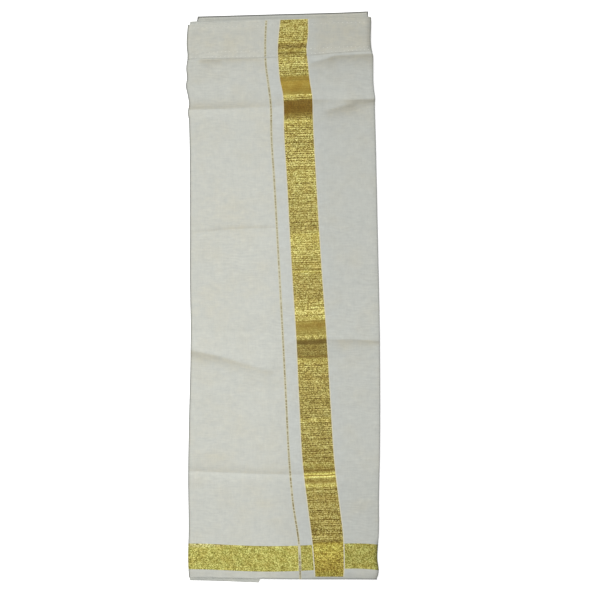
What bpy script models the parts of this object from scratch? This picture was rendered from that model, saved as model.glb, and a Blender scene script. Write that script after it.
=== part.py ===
"""A stitched cotton dhoti with gold zari borders, folded lengthwise to a flat strip and laid on a surface.

Metres, +Z up, the waist towards +Y and the wide gold stripe right of the middle. The flat underside rests on z = 0.
"""

from collections import namedtuple

import bpy

MM = 0.001

# Sizes in millimetres
CLOTH_WALL = 1.2  # front ply
BAND_WALL = 1.8  # waistband, three plies pressed together
ZARI_WALL = 1.0  # woven gold borders
GAP = 0.3  # between touching pieces
BED = 5.4  # height of the plies under the front one
BAND_RISE = 1.6  # how much higher they lie under the stitched waistbands
EDGE_DROOP = 0.6  # how far the front ply dips at its two side folds
LINE_WIDTH = 3.2  # thin gold line
PLY_GROOVE = 1.0  # depth of the groove between two hidden plies
PLY_ROUND = 0.2  # how far the shoulders of a ply's folded edge stand back
CORNER_TAPER = 90.0  # length over which a hidden ply's corner swings back to the side fold
HEM_TAPER = 60.0  # the same at the hem

# Guides down the cloth, each a smooth curve through a few places (y, x), from the hem to the waist: the two side
# folds, the middle of the thin gold line and the two sides of the stripe, which all wander a little
GUIDE_PLACES = {
    "left": [
        (-530, -178), (-495, -179.5), (-440, -178.5), (-330, -179.5), (-240, -178), (-60, -174.5), (30, -176),
        (160, -176), (320, -177.5), (350, -180), (368, -178), (403, -183.3), (418, -182), (434, -183), (456, -180.5),
        (475, -182), (530, -178.5),
    ],
    "right": [
        (-530, 177), (-525, 179), (-490, 178), (-440, 181), (-385, 181), (-300, 182.5), (-60, 182.5), (90, 179.5),
        (275, 175.5), (335, 174), (378, 173.5), (390, 172), (455, 170), (465, 168), (530, 166.5),
    ],
    "line": [
        (-532, 32.5), (-465, 30), (-390, 19), (-300, 11), (-200, 6), (-65, -1), (35, -6.5), (225, -17), (335, -23),
        (380, -25), (440, -32.5), (470, -34), (500, -33.5), (530, -31.5),
    ],
    "stripe_l": [
        (-532, 61.5), (-465, 56), (-390, 46.5), (-320, 38), (-200, 31), (-65, 24.5), (35, 18), (225, 7.5), (335, 1.5),
        (380, 0.5), (410, -5), (440, -8.5), (470, -9.5), (500, -7.5), (530, -4.5),
    ],
    "stripe_r": [
        (-532, 113), (-490, 114.5), (-450, 113), (-390, 106), (-320, 97.5), (-200, 89.5), (-65, 81), (35, 74),
        (225, 62), (335, 56), (380, 54.5), (410, 50), (440, 47), (470, 44), (500, 47), (530, 46.5),
    ],
}

# Sections across the strip, from the hem up to the waist. y is at the middle of the section, tilt is how much
# higher its right end is than its left, and bow how far its middle stands above the straight line. lift_l and
# lift_r raise the cloth at the left and right, along the creases of an earlier crosswise fold.
Section = namedtuple("Section", "name y tilt bow lift_l lift_r")
SECTIONS = [
    Section("hem edge", -530.0, -3.0, -1.5, 0.0, 0.0),
    Section("stripe end", -526.0, -2.0, -1.5, 0.0, 0.0),
    Section("hem band foot", -511.6, -0.4, -5.5, 0.1, 0.1),
    Section("hem band", -488.0, -0.9, -5.0, 0.2, 0.3),
    Section("hem band top", -463.8, -1.4, -4.3, 0.2, 0.5),
    Section("panel", -440.0, 0.0, 0.0, 0.2, 0.6),
    Section("panel", -400.0, 0.0, 0.0, 0.3, 0.4),
    Section("fold side", -355.0, 4.0, 0.0, 0.7, 0.5),
    Section("fourth fold", -331.0, 4.0, 0.0, -0.4, -0.2),
    Section("fold side", -310.0, 3.0, 0.0, 0.8, 0.5),
    Section("panel", -265.0, 0.0, 0.0, 0.3, 0.2),
    Section("panel", -205.0, 0.0, 0.0, 0.2, 0.2),
    Section("panel", -150.0, 0.0, 0.0, 0.4, 0.4),
    Section("fold side", -105.0, 6.0, 0.0, 1.3, 1.2),
    Section("third fold", -80.0, 8.0, 0.0, 2.0, 2.6),
    Section("fold side", -52.0, 6.0, 0.0, 0.9, 1.2),
    Section("panel", -5.0, 0.0, 0.0, 0.3, 0.3),
    Section("panel", 50.0, 0.0, 0.0, 0.3, 0.2),
    Section("fold side", 100.0, 8.0, 0.0, 0.6, 0.5),
    Section("second fold", 128.0, 12.0, 0.0, -0.3, -0.2),
    Section("fold side", 152.0, 10.0, 0.0, 0.7, 0.5),
    Section("panel", 205.0, 0.0, 0.0, 0.3, 0.2),
    Section("panel", 265.0, 0.0, 0.0, 0.3, 0.3),
    Section("panel", 318.0, 5.0, 0.0, 0.5, 0.6),
    Section("fold side", 351.0, 9.0, 0.0, 1.2, 1.6),
    Section("first fold", 376.0, 11.0, 0.0, 2.6, 3.4),
    Section("fold side", 398.0, 9.0, 0.0, 1.3, 1.7),
    Section("panel", 424.0, 8.0, 0.0, 0.5, 0.5),
    Section("under the band", 445.0, 10.0, 0.5, -0.2, -0.6),
    Section("band foot", 457.0, 11.0, 0.5, 0.6, 0.4),
    Section("band", 480.0, 12.0, 0.5, 0.9, 0.8),
    Section("band", 503.0, 13.5, 0.8, 0.9, 0.8),
    Section("waist edge", 523.0, 14.6, 1.0, 0.3, 0.3),
]
HEM_EDGE, STRIPE_END, HEM_FOOT, HEM_TOP = 0, 1, 2, 4
BAND_FOOT = [section.name for section in SECTIONS].index("band foot")
WAIST_EDGE = len(SECTIONS) - 1

# How the width between two guides is shared out: the share of that width at which each column stands
SHARES = {
    "left": [0.0, 0.03, 0.14, 0.27, 0.4, 0.52, 0.63, 0.645, 0.76, 0.9],
    "line_l": [0.0],
    "line_r": [0.0, 0.5],
    "stripe_l": [0.0, 0.33, 0.67],
    "stripe_r": [0.0, 0.25, 0.5, 0.75, 0.95],
    "right": [0.0],
}
GUIDES = list(SHARES)
FIRST = {name: sum(len(SHARES[g]) for g in GUIDES[:i]) for i, name in enumerate(GUIDES)}
COLUMNS = FIRST["right"] + 1

# Hidden plies from the surface up. reach_* is how far a ply stands out past the front one at the waist's left end,
# middle and right end; corner_* is how far its waist corners stand in from the side folds; hem_* is its reach past
# the hem edge at the left, at hem_end (the column where it stops) and right of that.
Ply = namedtuple(
    "Ply", "name top reach_l reach_m reach_r corner_l corner_r side_l side_r hem_l hem_end hem_r"
)
PLIES = [
    Ply("part-width ply", 0.17, -2.0, -2.0, -2.0, 3.0, 3.0, 1.6, 2.0, 6.0, 8.0, -1.5),
    Ply("back ply, lower", 0.37, 14.6, 9.8, 8.7, 18.0, 6.0, 1.4, 2.4, -2.4, -2.2, -2.0),
    Ply("back ply, upper", 0.57, 11.4, 6.4, 5.6, 18.8, 6.8, 2.2, 1.2, -2.8, -2.6, -2.4),
    Ply("inner ply", 0.78, -1.5, -1.0, -1.2, 4.0, 3.0, 2.8, 1.6, -1.4, -1.8, -1.8),
    Ply("middle ply", 1.0, 6.2, 3.2, 0.8, 4.2, 1.6, 1.2, 1.2, -1.2, -1.0, -1.2),
]
PART_WIDTH_END = 6  # the column at which the lowest ply stops along the hem


def smooth(t):
    t = min(max(t, 0.0), 1.0)
    return t * t * (3.0 - 2.0 * t)


def mix(a, b, t):
    return a + (b - a) * t


def three_way(left, middle, right, u):
    """The value at u, from 0 at the left to 1 at the right, on the curve through three values."""
    return left * (1 - u) * (1 - 2 * u) + middle * 4 * u * (1 - u) + right * u * (2 * u - 1)


def guide_x(name, y):
    """x of a guide at y, on the smooth curve through its places."""
    places = GUIDE_PLACES[name]
    k = max(i for i in range(len(places) - 1) if i == 0 or places[i][0] <= y)

    def slope(at):
        (y0, x0), (y1, x1) = places[max(at - 1, 0)], places[min(at + 1, len(places) - 1)]
        return (x1 - x0) / (y1 - y0)

    (y0, x0), (y1, x1) = places[k], places[k + 1]
    run = y1 - y0
    t = (y - y0) / run
    bulge = (slope(k) * run - (x1 - x0)) * (1 - t) - (slope(k + 1) * run - (x1 - x0)) * t
    return mix(x0, x1, t) + t * (1 - t) * bulge


def columns_of(section):
    """x of every column of a section, so that columns run along the gold borders."""
    line = guide_x("line", section.y)
    guide = {
        "left": guide_x("left", section.y),
        "line_l": line - LINE_WIDTH / 2,
        "line_r": line + LINE_WIDTH / 2,
        "stripe_l": guide_x("stripe_l", section.y),
        "stripe_r": guide_x("stripe_r", section.y),
        "right": guide_x("right", section.y),
    }
    xs = []
    for name, after in zip(GUIDES, GUIDES[1:]):
        xs += [mix(guide[name], guide[after], share) for share in SHARES[name]]
    return xs + [guide["right"]]


def strip_width(section):
    return guide_x("right", section.y) - guide_x("left", section.y)


def across(section, x):
    """0 at the left fold, 1 at the right."""
    return (x - guide_x("left", section.y)) / strip_width(section)


def bed_height(section, x):
    """Height of the surface on which the front ply lies."""
    u = across(section, x)
    edge = min(u, 1 - u) * strip_width(section)
    droop = EDGE_DROOP * (1 - smooth(edge / 12.0))
    rise = BAND_RISE * smooth((section.y - 400.0) / 60.0)
    return BED + rise + mix(section.lift_l, section.lift_r, u) - droop


def bed():
    """Rows of points on which the front ply and the waistband lie, hem first."""
    rows = []
    for section in SECTIONS:
        row = []
        for x in columns_of(section):
            u = across(section, x)
            y = section.y + section.tilt * (u - 0.5) + section.bow * 4 * u * (1 - u)
            row.append((x, y, bed_height(section, x)))
        rows.append(row)
    return rows


def moved(rows, up):
    return [[(x, y, z + up) for x, y, z in row] for row in rows]


def collection_for(name):
    found = bpy.data.collections.get(name) or bpy.data.collections.new(name)
    if found.name not in bpy.context.scene.collection.children:
        bpy.context.scene.collection.children.link(found)
    return found


def cloth_material(name, colour, roughness, metallic=0.0):
    material = bpy.data.materials.new(name)
    material.use_nodes = True
    shader = material.node_tree.nodes["Principled BSDF"]
    shader.inputs["Base Color"].default_value = (*colour, 1.0)
    shader.inputs["Roughness"].default_value = roughness
    shader.inputs["Metallic"].default_value = metallic
    material.diffuse_color = (*colour, 1.0)
    return material


def add_object(name, points, faces, material):
    mesh = bpy.data.meshes.new(name)
    mesh.from_pydata([(x * MM, y * MM, z * MM) for x, y, z in points], [], faces)
    mesh.materials.append(material)
    made = bpy.data.objects.new(name, mesh)
    collection_for("dhoti").objects.link(made)
    return made


def cloth_wall(name, rows, wall, material):
    """A wall of cloth: the surface through these rows, made solid upwards."""
    wide = len(rows[0])
    points = [point for row in rows for point in row]
    faces = [
        (j * wide + i, j * wide + i + 1, (j + 1) * wide + i + 1, (j + 1) * wide + i)
        for j in range(len(rows) - 1)
        for i in range(wide - 1)
    ]
    made = add_object(name, points, faces, material)
    solidify = made.modifiers.new("wall", "SOLIDIFY")
    solidify.thickness = wall * MM
    solidify.offset = 1.0
    solidify.use_even_offset = False
    return made


def narrowed(row, start, stop, inset_l=0.0, inset_r=0.0):
    """The points of a row from one column to another, with its ends drawn in."""
    part = [list(point) for point in row[start : stop + 1]]
    part[0][0] += inset_l
    part[-1][0] -= inset_r
    return [tuple(point) for point in part]


def outline(rows):
    """(row, column) round the edge of the grid, anticlockwise from the hem's left corner."""
    last_row, last_column = len(rows) - 1, len(rows[0]) - 1
    path = [(0, i) for i in range(last_column)]
    path += [(j, last_column) for j in range(last_row)]
    path += [(last_row, i) for i in range(last_column, 0, -1)]
    path += [(j, 0) for j in range(last_row, 0, -1)]
    return path


def ply_ring(rows, ply, share, stand_back):
    """One ring round the hidden plies: this ply's outline, at a share of the bed's height."""
    ring = []
    for j, i in outline(rows):
        x, y, z = rows[j][i]
        u = across(SECTIONS[j], x)
        waist = smooth(1 - (rows[-1][i][1] - y) / CORNER_TAPER)
        hem = smooth(1 - (y - rows[0][i][1]) / HEM_TAPER)
        reach_waist = three_way(ply.reach_l, ply.reach_m, ply.reach_r, u) - stand_back
        if i <= PART_WIDTH_END:
            reach_hem = mix(ply.hem_l, ply.hem_end, i / PART_WIDTH_END) - stand_back
        else:
            reach_hem = ply.hem_r - stand_back
        inset_l = ply.side_l + stand_back + waist * (ply.corner_l - ply.side_l)
        inset_r = ply.side_r + stand_back + waist * (ply.corner_r - ply.side_r)
        ring.append(
            (
                x + mix(inset_l, -inset_r, u),
                y + waist * reach_waist - hem * reach_hem,
                (z - GAP) * share,
            )
        )
    return ring


def hidden_layers(rows, material):
    """The plies under the front one: stacked rings round rounded folds, a flat foot and a top that follows the bed."""
    path = outline(rows)
    rings = []
    low = 0.0
    for ply in PLIES:
        thick = ply.top - low
        rings.append(ply_ring(rows, ply, low + 0.04 * thick, PLY_GROOVE))
        rings.append(ply_ring(rows, ply, low + 0.28 * thick, PLY_ROUND))
        rings.append(ply_ring(rows, ply, low + 0.72 * thick, PLY_ROUND))
        rings.append(ply_ring(rows, ply, low + 0.96 * thick, PLY_GROOVE))
        low = ply.top
    rings[0] = [(x, y, 0.0) for x, y, _ in rings[0]]
    top_ring = [(x, y, rows[j][i][2] - GAP) for (x, y, _), (j, i) in zip(rings[-1], path)]
    rings[-1] = top_ring

    points = [point for ring in rings for point in ring]
    count = len(path)
    faces = [tuple(reversed(range(count)))]
    for k in range(len(rings) - 1):
        for a in range(count):
            b = (a + 1) % count
            faces.append((k * count + a, k * count + b, (k + 1) * count + b, (k + 1) * count + a))

    top_base = (len(rings) - 1) * count
    index = {place: top_base + a for a, place in enumerate(path)}
    for j in range(1, len(rows) - 1):
        for i in range(1, COLUMNS - 1):
            index[(j, i)] = len(points)
            x, y, z = rows[j][i]
            points.append((x, y, z - GAP))
    for j in range(len(rows) - 1):
        for i in range(COLUMNS - 1):
            faces.append((index[(j, i)], index[(j, i + 1)], index[(j + 1, i + 1)], index[(j + 1, i)]))
    return add_object("hidden_layers", points, faces, material)


def build():
    for leftover in list(bpy.data.objects):
        bpy.data.objects.remove(leftover, do_unlink=True)

    cotton = cloth_material("cotton", (0.66, 0.66, 0.60), 0.85)
    band = cloth_material("cotton_band", (0.62, 0.62, 0.55), 0.85)
    under = cloth_material("cotton_under", (0.60, 0.60, 0.54), 0.88)
    gold = cloth_material("zari", (0.52, 0.40, 0.13), 0.42, 0.6)
    pale_gold = cloth_material("zari_hem", (0.50, 0.44, 0.14), 0.45, 0.6)

    rows = bed()
    panel_rows = rows[: BAND_FOOT + 1]
    seam = [(x, y + GAP, z) for x, y, z in rows[BAND_FOOT]]
    band_rows = [seam] + rows[BAND_FOOT + 1 :]

    hidden_layers(rows, under)
    cloth_wall("front_panel", panel_rows, CLOTH_WALL, cotton)
    cloth_wall("waistband", band_rows, BAND_WALL, band)

    # The gold borders lie on the panel and the band: their own points, moved out.
    over = moved(panel_rows, CLOTH_WALL + GAP) + moved(band_rows, BAND_WALL + GAP)
    stripe = [narrowed(row, FIRST["stripe_l"], FIRST["stripe_r"]) for row in over[STRIPE_END:]]
    line = [narrowed(row, FIRST["line_l"], FIRST["line_r"]) for row in over]
    cloth_wall("zari_stripe", stripe, ZARI_WALL, gold)
    cloth_wall("zari_line", line, ZARI_WALL, gold)
    hem = over[HEM_FOOT : HEM_TOP + 1]
    for name, start, stop, inset_l, inset_r in (
        ("zari_hem_left", 0, FIRST["line_l"], 0.0, GAP),
        ("zari_hem_middle", FIRST["line_r"], FIRST["stripe_l"], GAP, GAP),
        ("zari_hem_right", FIRST["stripe_r"], COLUMNS - 2, GAP, 0.0),
    ):
        cloth_wall(name, [narrowed(row, start, stop, inset_l, inset_r) for row in hem], ZARI_WALL, pale_gold)


build()
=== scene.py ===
"""A stitched dhoti folded lengthwise and laid flat, seen from straight above.

Sizes are in millimetres unless they say otherwise. Meshes are made in metres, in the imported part's frame:
x runs to the right, y from the hem towards the waist, and z up from the floor.
"""

import math
from collections import namedtuple

import bpy
import numpy as np
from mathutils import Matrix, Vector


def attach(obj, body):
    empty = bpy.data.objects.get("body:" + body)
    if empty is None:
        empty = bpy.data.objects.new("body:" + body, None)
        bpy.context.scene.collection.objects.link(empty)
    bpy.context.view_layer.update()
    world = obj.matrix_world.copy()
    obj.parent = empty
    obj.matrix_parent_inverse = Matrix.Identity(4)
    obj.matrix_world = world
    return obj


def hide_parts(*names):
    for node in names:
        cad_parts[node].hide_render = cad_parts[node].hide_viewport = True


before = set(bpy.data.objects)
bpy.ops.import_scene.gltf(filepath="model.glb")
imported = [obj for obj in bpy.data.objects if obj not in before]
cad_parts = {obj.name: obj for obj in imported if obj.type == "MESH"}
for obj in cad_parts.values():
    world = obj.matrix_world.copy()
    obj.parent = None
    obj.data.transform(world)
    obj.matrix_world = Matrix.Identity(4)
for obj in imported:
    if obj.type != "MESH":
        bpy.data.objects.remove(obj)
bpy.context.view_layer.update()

MM = 0.001


def table(columns, *rows):
    """Rows of values with named columns."""
    row = namedtuple("Row", columns)
    return [row(*values) for values in rows]


# -------------------- sizes

PLY = 0.4  # thickness of one visible ply
PLY_GAP = 0.12  # air between the front ply and the plies under it
SKIN = 0.22  # thickness of a woven gold border
SKIN_LIFT = 0.12  # how far a border stands off the cloth
SKIN_STEP = 1.6  # length of one face of a hem border
FRONT_TOP = 6.6  # height of the front ply's upper face
BAND_RISE = 1.6  # how much higher everything lies under the stitched waistbands
BAND_STEP = 0.4  # how far the waistband stands above the front ply
STITCH_PULL = 0.14  # how far a row of stitches draws the waistband down
PUCKER = 0.05  # height of the puckers along the waistband's foot
FOLD_RADIUS = 0.85  # of the front ply's side folds
HEM_RADIUS = 0.3  # of the front ply's hem
BAND_RADIUS = 0.7  # of the waistband's edges
SELVAGE = 1.9  # width of the pale threads beside the stripe
SELVAGE_THICK = 0.2  # their thickness
SELVAGE_LIFT = 0.08  # how far those threads stand off the cloth
LINE_WIDTH = 4.8  # thin line, with its pale outlines
TUCK = 6.0  # how far the front ply runs on under the waistband
THREAD_TILT = 0.04  # how far the gold's threads rise for each millimetre to the right
THREAD_WAVER = 0.3  # how far they swing up and down
THREAD_ROWS = 3.8  # spacing of the gold's rows of threads
RICH_FROM = -458.5  # y just above the hem borders, where the gold starts to turn richer
RICH_RUN = 4.0  # how far down from there it takes
SHARP = math.radians(50)  # edges that bend further than this are shaded as sharp

# A stitch: half its width and height, how far its ends dip and how far its middle lies above the cloth. Its
# rings are places along its half length, each with a share of its width.
STITCH_WIDE, STITCH_HIGH, STITCH_DIP, STITCH_LIFT = 0.42, 0.3, 0.1, 0.1
STITCH_RINGS = ((-1.0, 0.15), (-0.8, 0.75), (-0.3, 1.0), (0.3, 1.0), (0.8, 0.75), (1.0, 0.15))
STITCH_SIDES = 8

# The picture: where the camera looks straight down, and how wide it sees
VIEW_X, VIEW_Y, VIEW_WIDTH = 31.9, -3.9, 1132.8
LENS = 85.0
SENSOR = 36.0
FLOOR_HALF = 40_000.0  # half the side of the paper, which fills every view
KEY_POWER = 2.25
OVERHEAD_POWER = 7.6
SKY = 0.29
GLOW = 0.55  # how far the paper under the cloth glows, so that it stays white

# Colours, as linear red, green and blue
WHITE_COTTON = (0.588, 0.608, 0.568)
BEIGE_COTTON = (0.606, 0.594, 0.500)
LINE_CORD = (0.615, 0.592, 0.435)
LINE_THREADS = (0.230, 0.185, 0.075)
SELVAGE_THREADS = (0.625, 0.600, 0.470)
SEWING_THREAD = (0.72, 0.72, 0.66)
PAPER = ((0.93, 0.93, 0.93), (0.95, 0.95, 0.95))
WHITE_LIGHT = (1.0, 1.0, 1.0, 1.0)

# Gold thread: its painted shadow, middle and glint colours, and how strongly its rows of threads and grains
# glint
Gold = namedtuple("Gold", "dark middle bright rows grains")
STRIPE_GOLD = Gold((0.125, 0.072, 0.004), (0.400, 0.332, 0.066), (0.860, 0.795, 0.300), 0.56, 0.90)
HEM_GOLD = Gold((0.150, 0.125, 0.012), (0.425, 0.383, 0.106), (0.840, 0.800, 0.370), 0.0, 0.82)

# Guides down the cloth, each a smooth curve through a few places (y, x), from the hem to the waist: its two
# side folds, the middle of the thin line and the two sides of the stripe. The left fold is crumpled near the
# waist.
LEFT_FOLD = [
    (-530, -178), (-495, -179.5), (-440, -178.5), (-330, -179.5), (-240, -178), (-60, -174.5), (30, -176),
    (160, -176), (320, -177.5), (335, -178), (352, -180.2), (366, -177.8), (380, -179.7), (402, -183.6),
    (414, -181.7), (434, -183), (455, -180.3), (475, -182), (530, -178.5),
]
RIGHT_FOLD = [
    (-530, 177), (-525, 179), (-490, 178), (-440, 181), (-385, 181), (-300, 182.7), (-60, 182.5), (90, 179.5),
    (275, 175.5), (335, 174), (365, 173.2), (380, 173.6), (390, 172), (440, 170.3), (456, 170), (464, 168),
    (530, 166.5),
]
LINE = [
    (-532, 32.5), (-465, 30), (-390, 19), (-300, 11), (-200, 6), (-65, -1), (35, -6.5), (225, -17),
    (310, -22.3), (365, -23.4), (410, -28.8), (440, -32.7), (480, -33.8), (530, -31.4),
]
STRIPE_LEFT = [
    (-532, 61.5), (-465, 56), (-390, 46.5), (-320, 38), (-200, 31), (-65, 24.5), (35, 18), (225, 7.5),
    (320, 2), (366, 1.3), (384, 0), (412, -5.6), (440, -8.3), (470, -9.7), (500, -7.5), (530, -4.3),
]
STRIPE_RIGHT = [
    (-532, 113), (-518, 114.2), (-490, 114.4), (-450, 113), (-390, 106), (-320, 97.5), (-200, 89.3),
    (-65, 81.2), (35, 73.8), (225, 62), (335, 56.1), (380, 54.6), (414, 49.4), (440, 46.8), (470, 44),
    (494, 46.5), (530, 46.5),
]

# Lines that run across the cloth: y at five places along x
Across = namedtuple("Across", "far_left left middle right far_right")
ACROSS_X = (-180.0, -105.0, -40.0, 70.0, 170.0)
WAIST_EDGE = Across(515.6, 519.9, 523.2, 527.1, 530.2)
BAND_FOOT = Across(449.8, 452.1, 452.9, 459.2, 465.0)
STITCH_TOP = Across(508.6, 511.4, 513.6, 518.2, 519.8)
STITCH_UPPER = Across(458.7, 464.6, 466.2, 471.2, 472.7)
STITCH_LOWER = Across(452.6, 455.2, 455.9, 462.2, 468.3)
HEM_TOP = Across(-463.6, -466.0, -468.4, -465.6, -464.8)
HEM_FOOT = Across(-512.2, -514.4, -516.6, -513.2, -512.8)
HEM_EDGE = Across(-527.9, -528.8, -530.4, -531.6, -531.9)
STRIPE_END = Across(-526.2, -526.2, -526.2, -526.4, -526.6)
HEM_LEVEL = -530.0  # y at about the middle of the hem
BAND_MIDDLE = 490.0  # y about half way up the waistband

# Creases left by earlier crosswise folds, and softer ones. Each runs from (x0, y0) to (x1, y1), and the pairs
# hold a size at its two ends: high is its height, below zero for a trough, and above and below are how far it
# fades towards the waist and towards the hem. crest is the roundness of its crest, and ends is how far it
# fades past its two ends.
CREASES = table(
    "x0 y0 x1 y1 high above below crest ends",
    # under the waistband
    (88, 457, 190, 462, (2.4, 3.4), (14, 14), (9, 9), 1.6, 26),
    (50, 443, 96, 456, (1.2, 2.2), (12, 14), (7, 9), 2.0, 16),
    (-158, 450, -116, 451, (1.8, 1.8), (9, 9), (6, 6), 1.0, 14),
    (-112, 452, -40, 452, (1.1, 0.9), (9, 9), (5, 5), 1.0, 20),
    # first fold: a trough on the left, a ridge that drops away below on the right
    (-200, 355, -104, 357, (-3.0, -2.6), (13, 14), (9, 10), 1.4, 24),
    (-104, 357, 6, 361, (-2.4, -1.8), (14, 15), (14, 16), 2.4, 24),
    (8, 375, 108, 375, (2.6, 2.2), (34, 34), (13, 15), 1.2, 26),
    (112, 374, 200, 376, (3.4, 2.6), (34, 28), (9, 4), 1.6, 30),
    (80, 354, 134, 368, (2.4, 2.8), (18, 16), (13, 10), 4.0, 26),
    (-178, 338, -128, 326, (-0.3, -0.2), (10, 10), (10, 10), 3.0, 16),
    (-178, 396, -150, 402, (-0.4, -0.2), (10, 10), (10, 10), 3.0, 20),
    # second fold, a trough
    (-182, 120, -128, 126, (-0.7, -0.8), (7, 6), (16, 18), 1.2, 14),
    (-128, 126, -94, 130, (-0.8, -0.8), (6, 5), (18, 18), 0.9, 14),
    (-94, 130, -14, 132, (-0.8, -0.7), (5, 5), (22, 22), 0.8, 14),
    (-14, 132, 14, 135, (-0.4, -0.2), (5, 5), (16, 16), 1.0, 14),
    (-176, 108, -128, 109, (-0.16, -0.1), (5, 5), (9, 9), 1.0, 16),
    (-108, 152, -60, 152, (-0.12, -0.1), (5, 5), (9, 9), 1.0, 16),
    # third fold, a ridge on the right and hardly seen on the left
    (-190, -62, -20, -65, (-0.7, -0.5), (10, 10), (20, 20), 2.0, 30),
    (-178, -38, -150, -38, (-0.45, -0.2), (6, 6), (10, 10), 1.4, 14),
    (22, -75, 84, -76, (2.2, 2.2), (30, 30), (13, 13), 2.0, 16),
    (84, -77, 136, -78, (2.2, 2.2), (30, 28), (12, 9), 2.0, 20),
    (136, -78, 200, -82, (2.2, 1.4), (28, 24), (9, 4.5), 1.0, 20),
    (-200, -93, -118, -109, (3.4, 3.4), (30, 28), (10, 12), 3.5, 24),
    (-118, -109, -22, -137, (3.4, 2.2), (26, 22), (12, 14), 4.0, 24),
    # fourth fold, a trough with a sharp bottom
    (-190, -327, -92, -331, (-1.4, -1.7), (12, 12), (7, 7), 0.8, 22),
    (-92, -331, 8, -334, (-1.7, -1.5), (12, 11), (7, 7), 0.8, 22),
    (8, -334, 110, -334, (-1.3, -0.9), (11, 12), (7, 9), 0.7, 22),
    (112, -356, 190, -352, (-0.35, -0.3), (16, 14), (18, 18), 4.0, 30),
    # soft ones
    (20, -358, 120, -358, (0.5, 0.4), (12, 12), (12, 12), 2.0, 24),
    (130, -384, 176, -392, (0.5, 0.5), (16, 16), (18, 18), 6.0, 24),
    (-120, -372, -20, -392, (0.3, 0.3), (18, 18), (20, 20), 6.0, 40),
    (-178, 300, -90, 292, (-0.3, -0.2), (14, 14), (16, 16), 4.0, 50),
    (-178, 215, -30, 222, (0.2, 0.2), (22, 22), (22, 22), 6.0, 60),
    (60, 40, 182, 22, (-0.25, -0.25), (26, 26), (26, 26), 8.0, 60),
    (-176, 22, -40, 6, (-0.25, -0.25), (22, 22), (22, 22), 8.0, 60),
    (-178, -230, -20, -214, (0.25, 0.25), (20, 20), (24, 24), 6.0, 60),
    (90, -190, 182, -206, (0.25, 0.25), (24, 24), (24, 24), 6.0, 60),
    (-178, -446, 30, -452, (-0.3, -0.3), (14, 14), (16, 16), 5.0, 40),
)
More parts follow.
